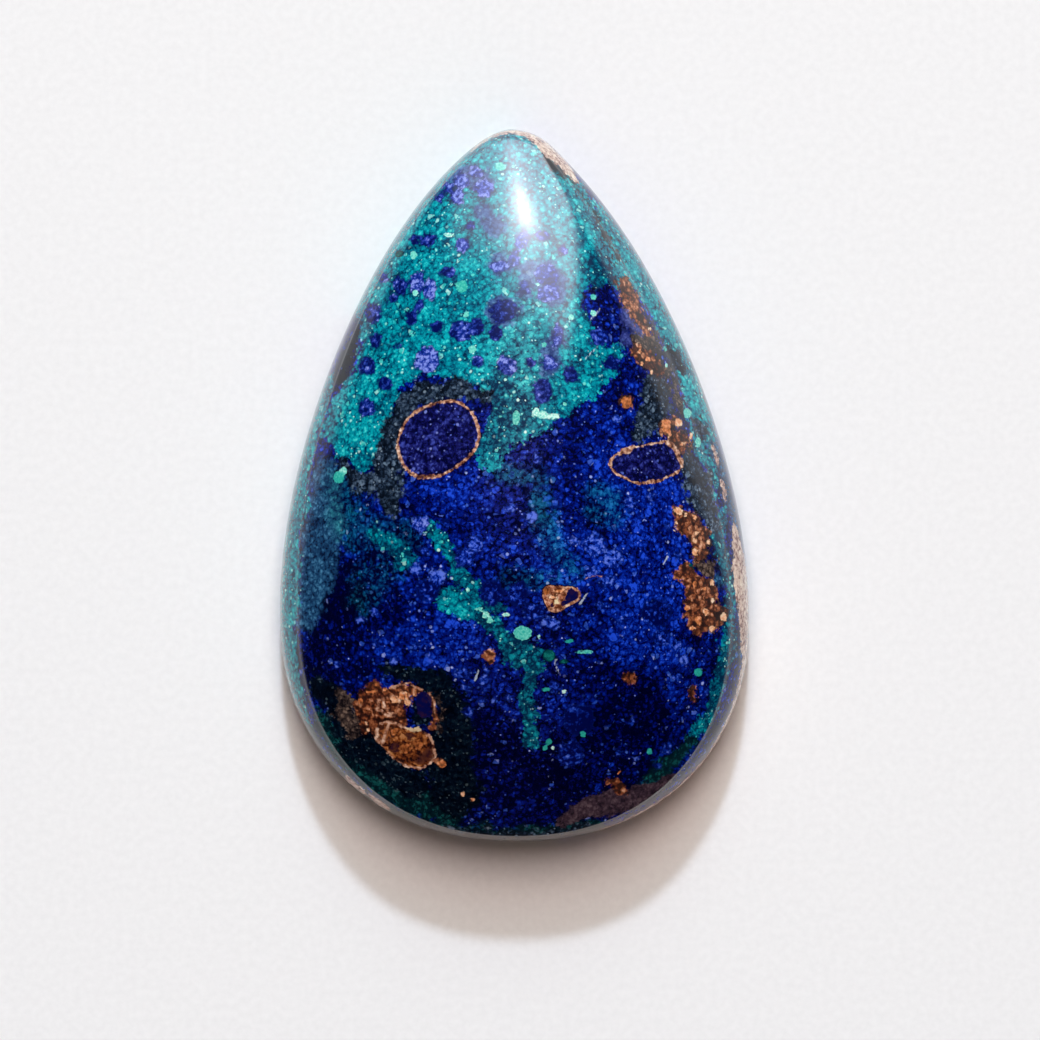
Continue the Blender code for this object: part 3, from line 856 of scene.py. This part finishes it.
def lay_soft_minerals(rock):
    """The blue, and over it the minerals whose grains mingle with it, with a painted flank sheen and
    shoulder shade.
    """
    tone = rock.tone
    teal = teal_rock(rock)
    green = rock.ramp(tone, GREEN_TONES)
    charcoal = rock.ramp(rock.pebbled, CHARCOAL_TONES)
    charcoal = rock.mix(rock.times(rock.specks, 0.65), charcoal, CHARCOAL_SPECK)
    night_and_shoulder_shade = rock.ramp(tone, NIGHT_TONES)
    night_and_shoulder_shade = rock.mix(rock.times(rock.specks, 0.35), night_and_shoulder_shade, NIGHT_SPECK)
    haze = rock.times(rock.inside("teal_haze", 0.4), rock.step(tone, 0.15, 0.65))
    smoke = rock.inside("smoke", 0.16, 0.8)

    # Slate along the flanks: dark grains with a painted reflection over them.
    colour = rock.mix(rock.inside("slate_and_flank_sheen", 0.25), blue_rock(rock), rock.ramp(tone, SLATE_AND_SHEEN_TONES))
    colour = rock.mix(rock.times(haze, 0.55), colour, rock.mix(0.68, teal, green))
    colour = rock.mix(rock.inside("teal"), colour, teal)
    colour = rock.mix(rock.inside("deep_green", 0.12), colour, green)
    colour = rock.mix(rock.inside("charcoal", 0.1), colour, charcoal)
    # Night: very dark grains, and near the tip a painted shade line along the shoulder.
    colour = rock.mix(rock.inside("night_and_shoulder_shade", 0.15), colour, night_and_shoulder_shade)
    return rock.mix(rock.times(smoke, 0.8), colour, rock.ramp(tone, SMOKE_TONES))


def lay_balls(rock, colour):
    """Azurite balls, with a dark rim round a paler, mottled heart, and smooth green beads."""
    ball = rock.vary(rock.ragged("ball", 0.2, 0.34), rock.patch, 0.4)
    heart = rock.vary(rock.math("ADD", rock.read("ball_tone"), -0.07), rock.mottle, 1.7)
    heart = rock.vary(heart, rock.tone, 1.6)
    pale = rock.ramp(heart, BALL_TONES)
    heart_colour = rock.mix(rock.inside("teal", 0.3), rock.ramp(heart, ROYAL_BALL_TONES), pale)
    ball_colour = rock.mix(rock.step(ball, -0.03, 0.12), BALL_EDGE, heart_colour)
    colour = rock.cover(colour, ball, -0.07, 0.06, ball_colour)

    jade = rock.ragged("jade", 0.05)
    jade_colour = rock.mix(rock.read("jade_tone"), JADE_DEEP, JADE_PALE)
    jade_colour = rock.mix(rock.step(rock.tone, 0.65, 0.3), jade_colour, JADE_SHADE)
    jade_colour = rock.mix(rock.step(jade, 0.0, 0.05), JADE_EDGE, jade_colour)
    return rock.cover(colour, jade, -0.05, 0.0, jade_colour)


def lay_rust_and_host(rock, colour):
    colour = rock.mix(rock.inside("mauve", 0.04, 0.5), colour, rock.ramp(rock.tone, MAUVE_TONES))
    colour = rock.mix(rock.inside("tan", 0.06, 0.9), colour, rock.ramp(rock.tone, TAN_TONES))
    colour = rock.mix(rock.inside("rust", 0.04, 0.7), colour, rock.ramp(rock.rust_tone, RUST_TONES))
    return rock.mix(rock.inside("host", 0.04, 0.5), colour, rock.ramp(rock.rust_tone, HOST_TONES))


def pale_rim(rock):
    tone = rock.add_share(rock.add_share(-0.5, rock.tone, 0.5), rock.mottle, 1.5)
    return rock.ramp(tone, RIM_TONES)


def lay_nodules(rock, colour, rim_colour):
    """Two blue nodules and a brown one, each with a pale rim, and a small brown shell."""
    rim_width = rock.vary(rock.add_share(-0.07, rock.patch, 0.26), rock.mottle, 0.14)

    ring = rock.ragged("ring", 0.1)
    speck = rock.ramp(rock.chip_shade, RING_SPECK_TONES)
    heart = rock.mix(rock.specks, rock.ramp(rock.tone, RING_TONES), speck)
    colour = rock.cover(colour, ring, -0.1, -0.06, rock.mix(0.7, colour, RING_EDGE))
    colour = rock.cover(colour, ring, -0.02, 0.02, heart)
    rim = rock.math("SUBTRACT", rim_width, rock.math("ABSOLUTE", ring))
    colour = rock.cover(colour, rim, -0.02, 0.02, rim_colour)

    nodule = rock.ragged("nodule", 0.14)
    colour = rock.cover(colour, nodule, -0.08, -0.03, NODULE_EDGE)
    colour = rock.cover(colour, nodule, -0.02, 0.02, rock.ramp(rock.rust_tone, NODULE_TONES))
    rim = rock.math("SUBTRACT", rock.math("ADD", rim_width, -0.01), rock.math("ABSOLUTE", nodule))
    colour = rock.cover(colour, rim, -0.02, 0.02, rim_colour)

    shell = rock.ragged("shell", 0.12)
    colour = rock.cover(colour, shell, -0.08, -0.03, SHELL_EDGE)
    return rock.cover(colour, shell, -0.02, 0.02, rock.ramp(rock.rust_tone, SHELL_TONES))


def lay_chips(rock, colour, rim_colour):
    """Flecks, orange chips and mint crystals, and over them the pale curls and white threads."""
    tone = rock.vary(rock.read("fleck_tone"), rock.mottle, 0.4)
    fleck = rock.ragged("fleck", 0.14, 0.3)
    colour = rock.cover(colour, fleck, -0.02, 0.03, rock.ramp(tone, FLECK_TONES))

    tone = rock.vary(rock.math("ADD", rock.read("ember_tone"), -0.21), rock.mottle, 1.2)
    tone = rock.vary(tone, rock.dust, 0.8)
    ember = rock.ragged("ember", 0.14, 0.25)
    colour = rock.cover(colour, ember, -0.05, -0.01, rock.mix(0.6, colour, EMBER_EDGE))
    colour = rock.cover(colour, ember, -0.015, 0.03, rock.ramp(tone, EMBER_TONES))

    tone = rock.vary(rock.read("crystal_tone"), rock.dust, 0.9)
    crystal = rock.ragged("crystal", 0.08, 0.1)
    colour = rock.cover(colour, crystal, -0.015, 0.02, rock.ramp(tone, CRYSTAL_TONES))

    colour = rock.cover(colour, rock.ragged("curl", 0.05), -0.03, 0.02, rim_colour)
    thread = rock.step(rock.ragged("thread", 0.06), -0.02, 0.02)
    return rock.mix(rock.times(thread, 0.7), colour, THREAD_COLOUR)


def polish(rock, shader):
    """A glassy polish, duller on the rust, with a trace of the last brushing along the stone."""
    rough = rock.add_share(0.15, rock.inside("rust", 0.04, 0.7), 0.15)
    rock.tree.links.new(rough, shader.inputs["Roughness"])
    shader.inputs["IOR"].default_value = 1.62
    brushed = rock.vector("MULTIPLY", rock.object_place, (1.0, 0.04, 0.04))
    relief = rock.add_share(rock.dust, rock.cloud(BRUSHING, 1.0, brushed), 0.6)
    bump = rock.node("Bump", {"Height": relief, "Strength": 0.12, "Distance": 0.01 * MM})
    rock.tree.links.new(bump.outputs["Normal"], shader.inputs["Normal"])


def azurite_rock():
    material = bpy.data.materials.new("azurite_rock")
    material.use_nodes = True
    shader = material.node_tree.nodes["Principled BSDF"]
    rock = Rock(material)
    rim_colour = pale_rim(rock)
    colour = lay_soft_minerals(rock)
    colour = lay_balls(rock, colour)
    colour = lay_rust_and_host(rock, colour)
    colour = lay_nodules(rock, colour, rim_colour)
    colour = lay_chips(rock, colour, rim_colour)
    rock.tree.links.new(colour, shader.inputs["Base Color"])
    polish(rock, shader)
    return material


# The camera looks straight down, over a field 52 mm wide.
FIELD = 52.0 * MM
VIEW_CENTRE = Vector((0.275, -1.725, 0)) * MM
CAMERA_HEIGHT = 600 * MM
SENSOR = 36.0


def add_camera():
    data = bpy.data.cameras.new("camera")
    data.sensor_width = SENSOR
    data.lens = SENSOR * CAMERA_HEIGHT / FIELD
    data.clip_start = 0.01
    data.clip_end = 10.0
    camera = bpy.data.objects.new("camera", data)
    camera.location = VIEW_CENTRE + Vector((0, 0, CAMERA_HEIGHT))
    bpy.context.scene.collection.objects.link(camera)
    bpy.context.scene.camera = camera


SOFTBOX_DISTANCE = 0.5


def from_sky(zenith, azimuth, distance):
    """A place over the stone, azimuth counted from the tip's side towards +X, in degrees."""
    tilt, turn = radians(zenith), radians(azimuth)
    return Vector((sin(tilt) * sin(turn), sin(tilt) * cos(turn), cos(tilt))) * distance


def aim(obj, place):
    obj.location = place
    obj.rotation_euler = (-place).to_track_quat("-Z", "Y").to_euler()


def add_softbox(name, colour, energy, size, spread, zenith, azimuth=0, slide=0.0, in_polish=False):
    """A rectangular lamp facing the stone, slid sideways towards +X in its own plane.

    It lights the scene, or only shows in the polish. Energy is in watts, size in metres, and
    spread, zenith and azimuth are in degrees.
    """
    data = bpy.data.lights.new(name, "AREA")
    data.shape = "RECTANGLE"
    data.size, data.size_y = size
    data.spread = radians(spread)
    data.color = colour
    data.energy = energy
    lamp = bpy.data.objects.new(name, data)
    lamp.visible_diffuse = not in_polish
    lamp.visible_glossy = in_polish
    aim(lamp, from_sky(zenith, azimuth, SOFTBOX_DISTANCE))
    lamp.location += Vector((cos(radians(azimuth)), -sin(radians(azimuth)), 0)) * slide
    bpy.context.scene.collection.objects.link(lamp)


def add_sun():
    data = bpy.data.lights.new("sun", "SUN")
    data.color = (0.71, 0.86, 1.0)
    data.energy = 1.85
    data.angle = radians(4.5)
    lamp = bpy.data.objects.new("sun", data)
    lamp.visible_glossy = False
    aim(lamp, from_sky(49.5, 0, 1.0))
    bpy.context.scene.collection.objects.link(lamp)


def add_softboxes():
    add_softbox("sky", (0.87, 1.0, 0.84), 0.26, (0.3, 1.2), 110, 66)
    add_softbox("slope", (0.83, 1.0, 0.96), 0.77, (0.25, 0.5), 140, 35)
    add_softbox("ceiling", (1.0, 0.71, 0.62), 0.61, (0.25, 0.25), 140, 18)
    add_softbox("room", (1.0, 0.77, 0.64), 0.25, (0.3, 0.6), 140, 50, 180)
    add_softbox("window", (1.0, 0.97, 1.0), 20.0, (1.18, 1.4), 140, 90, 20, -0.35, in_polish=True)
    add_softbox("glare", (1.0, 1.0, 1.0), 0.13, (0.06, 0.006), 180, 47.5, 0, 0.028, in_polish=True)
    add_softbox("bloom", (1.0, 1.0, 1.0), 0.14, (0.17, 0.04), 180, 47.5, 0, 0.028, in_polish=True)
    add_softbox("sheen", (1.0, 0.96, 0.96), 0.25, (0.42, 0.14), 180, 51, 0, 0.13, in_polish=True)
    add_softbox("halo", (0.8, 0.9, 1.0), 0.09, (0.4, 0.4), 40, 48, in_polish=True)


def add_room():
    """A faint glow from all round, and a pale backdrop behind the floor's far edge."""
    world = bpy.data.worlds.new("soft_room")
    world.use_nodes = True
    tree = world.node_tree
    glow = tree.nodes["Background"]
    glow.inputs["Color"].default_value = (1.0, 0.88, 0.82, 1.0)
    glow.inputs["Strength"].default_value = 0.005
    backdrop = tree.nodes.new("ShaderNodeBackground")
    backdrop.inputs["Color"].default_value = (0.88, 0.87, 0.89, 1.0)
    seen = tree.nodes.new("ShaderNodeLightPath")
    choice = tree.nodes.new("ShaderNodeMixShader")
    tree.links.new(seen.outputs["Is Camera Ray"], choice.inputs[0])
    tree.links.new(glow.outputs[0], choice.inputs[1])
    tree.links.new(backdrop.outputs[0], choice.inputs[2])
    tree.links.new(choice.outputs[0], tree.nodes["World Output"].inputs["Surface"])
    world.cycles_visibility.glossy = False
    bpy.context.scene.world = world


FLOOR_REACH = 1.5
PAPER_FIBRE = 0.35  # millimetres
PAPER_TONES = [(0.3, (0.83, 0.82, 0.84)), (0.7, (0.87, 0.86, 0.88))]


def make_floor():
    bm = bmesh.new()
    bmesh.ops.create_grid(bm, x_segments=1, y_segments=1, size=FLOOR_REACH)
    mesh = bpy.data.meshes.new("floor")
    bm.to_mesh(mesh)
    bm.free()
    floor = bpy.data.objects.new("floor", mesh)
    bpy.context.scene.collection.objects.link(floor)
    material = bpy.data.materials.new("pale_paper")
    material.use_nodes = True
    shader = material.node_tree.nodes["Principled BSDF"]
    mixer = Mixer(material)
    fibres = mixer.ramp(mixer.cloud(PAPER_FIBRE, 3.0), PAPER_TONES)
    material.node_tree.links.new(fibres, shader.inputs["Base Color"])
    shader.inputs["Roughness"].default_value = 0.85
    shader.inputs["Specular IOR Level"].default_value = 0.2
    floor.data.materials.append(material)
    return floor


stone = make_stone()
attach(stone, "root")
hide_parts("azurite_stone")
make_floor()
add_camera()
add_sun()
add_softboxes()
add_room()
bpy.context.scene.view_settings.view_transform = "Standard"
